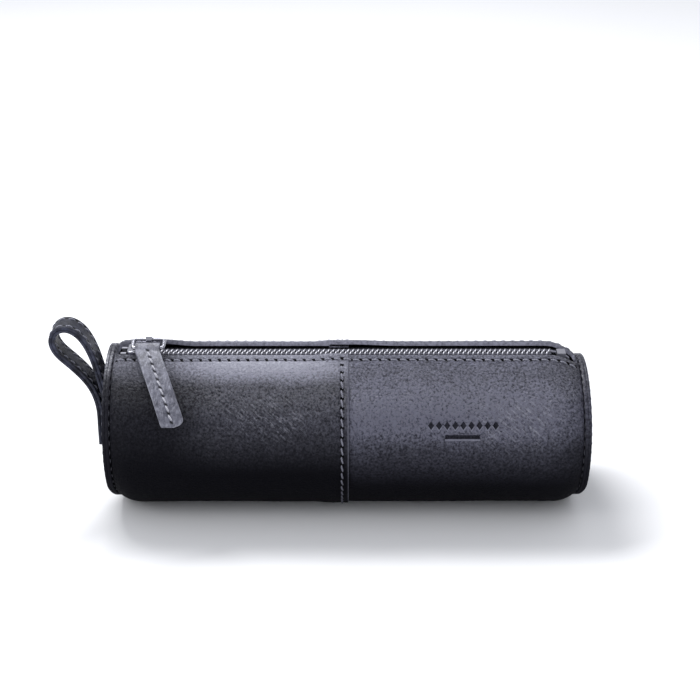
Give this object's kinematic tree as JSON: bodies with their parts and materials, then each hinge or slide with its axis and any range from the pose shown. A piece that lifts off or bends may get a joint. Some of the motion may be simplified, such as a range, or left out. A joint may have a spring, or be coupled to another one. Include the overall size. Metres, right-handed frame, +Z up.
{
  "type": "fountain pen case",
  "caption": "Zipped tube-shaped leather pen case with round sewn ends, a lap seam round the middle, a coil zip with a leather pull along the top and a wrist loop at one end.",
  "frame": {"origin": "centre of the flat foot under the tube", "axes": "+X along the tube away from the wrist loop, -Y the front that the leather pull hangs over, +Z up through the zip"},
  "size_m": [0.2187, 0.0693, 0.0773],
  "materials": {
    "navy_leather": "waxed blue-black leather, fine grain with pull-up creases",
    "loop_leather": "the same leather, doubled, with burnished edges",
    "pull_leather": "lighter grey-blue mottled leather",
    "navy_thread": "waxed thread, pressed in",
    "pull_thread": "waxed thread",
    "zip_tape": "woven polyester tape",
    "coil_metal": "metallised coil",
    "coil_cord": "filler cord",
    "stop_metal": "crimped metal",
    "slider_metal": "polished plating"
  },
  "bodies": {
    "case": {"left_body_panel": "navy_leather", "right_body_panel": "navy_leather", "left_end_panel": "navy_leather", "right_end_panel": "navy_leather", "centre_seam_stitches": "navy_thread", "front_mouth_stitches": "navy_thread", "back_mouth_stitches": "navy_thread", "left_end_stitches": "navy_thread", "right_end_stitches": "navy_thread", "loop_outer_strip": "loop_leather", "loop_inner_strip": "loop_leather", "loop_stitches": "navy_thread", "loop_anchor_stitches": "navy_thread", "front_top_stop": "stop_metal", "back_top_stop": "stop_metal", "bottom_stop": "stop_metal"},
    "front_stringer": {"front_zip_tape": "zip_tape", "front_zip_coil": "coil_metal", "front_coil_cord": "coil_cord"},
    "back_stringer": {"back_zip_tape": "zip_tape", "back_zip_coil": "coil_metal", "back_coil_cord": "coil_cord"},
    "slider": {"slider_body": "slider_metal", "slider_crown": "slider_metal"},
    "link": {"pull_link": "slider_metal"},
    "pull": {"leather_pull": "pull_leather", "pull_stitches": "pull_thread"}
  },
  "joints": [
    {"name": "slider_travel", "type": "slide", "parent": "case", "child": "slider", "axis": [1, 0, 0], "range_m": [0, 0.16]},
    {"name": "link_swing", "type": "hinge", "parent": "slider", "child": "link", "pos_m": [-0.0804, 0.0006, 0.069], "axis": [1, 0, 0], "range_deg": [-140, 0]},
    {"name": "pull_swing", "type": "hinge", "parent": "link", "child": "pull", "pos_m": [-0.0804, -0.0057, 0.068], "axis": [1, 0, 0], "range_deg": [-75, 0]},
    {"name": "front_stringer_spread", "type": "hinge", "parent": "case", "child": "front_stringer", "pos_m": [0, -0.009, 0.0016], "axis": [1, 0, 0], "range_deg": [0, 12], "deforming": ["front_zip_tape", "front_zip_coil", "front_coil_cord"]},
    {"name": "back_stringer_spread", "type": "hinge", "parent": "case", "child": "back_stringer", "pos_m": [0, 0.009, 0.0016], "axis": [1, 0, 0], "range_deg": [-12, 0], "deforming": ["back_zip_tape", "back_zip_coil", "back_coil_cord"]}
  ],
  "couplings": [
    {"joint": "front_stringer_spread", "follows": "slider_travel", "rad_per_m": 1.3},
    {"joint": "back_stringer_spread", "follows": "slider_travel", "rad_per_m": -1.3}
  ]
}
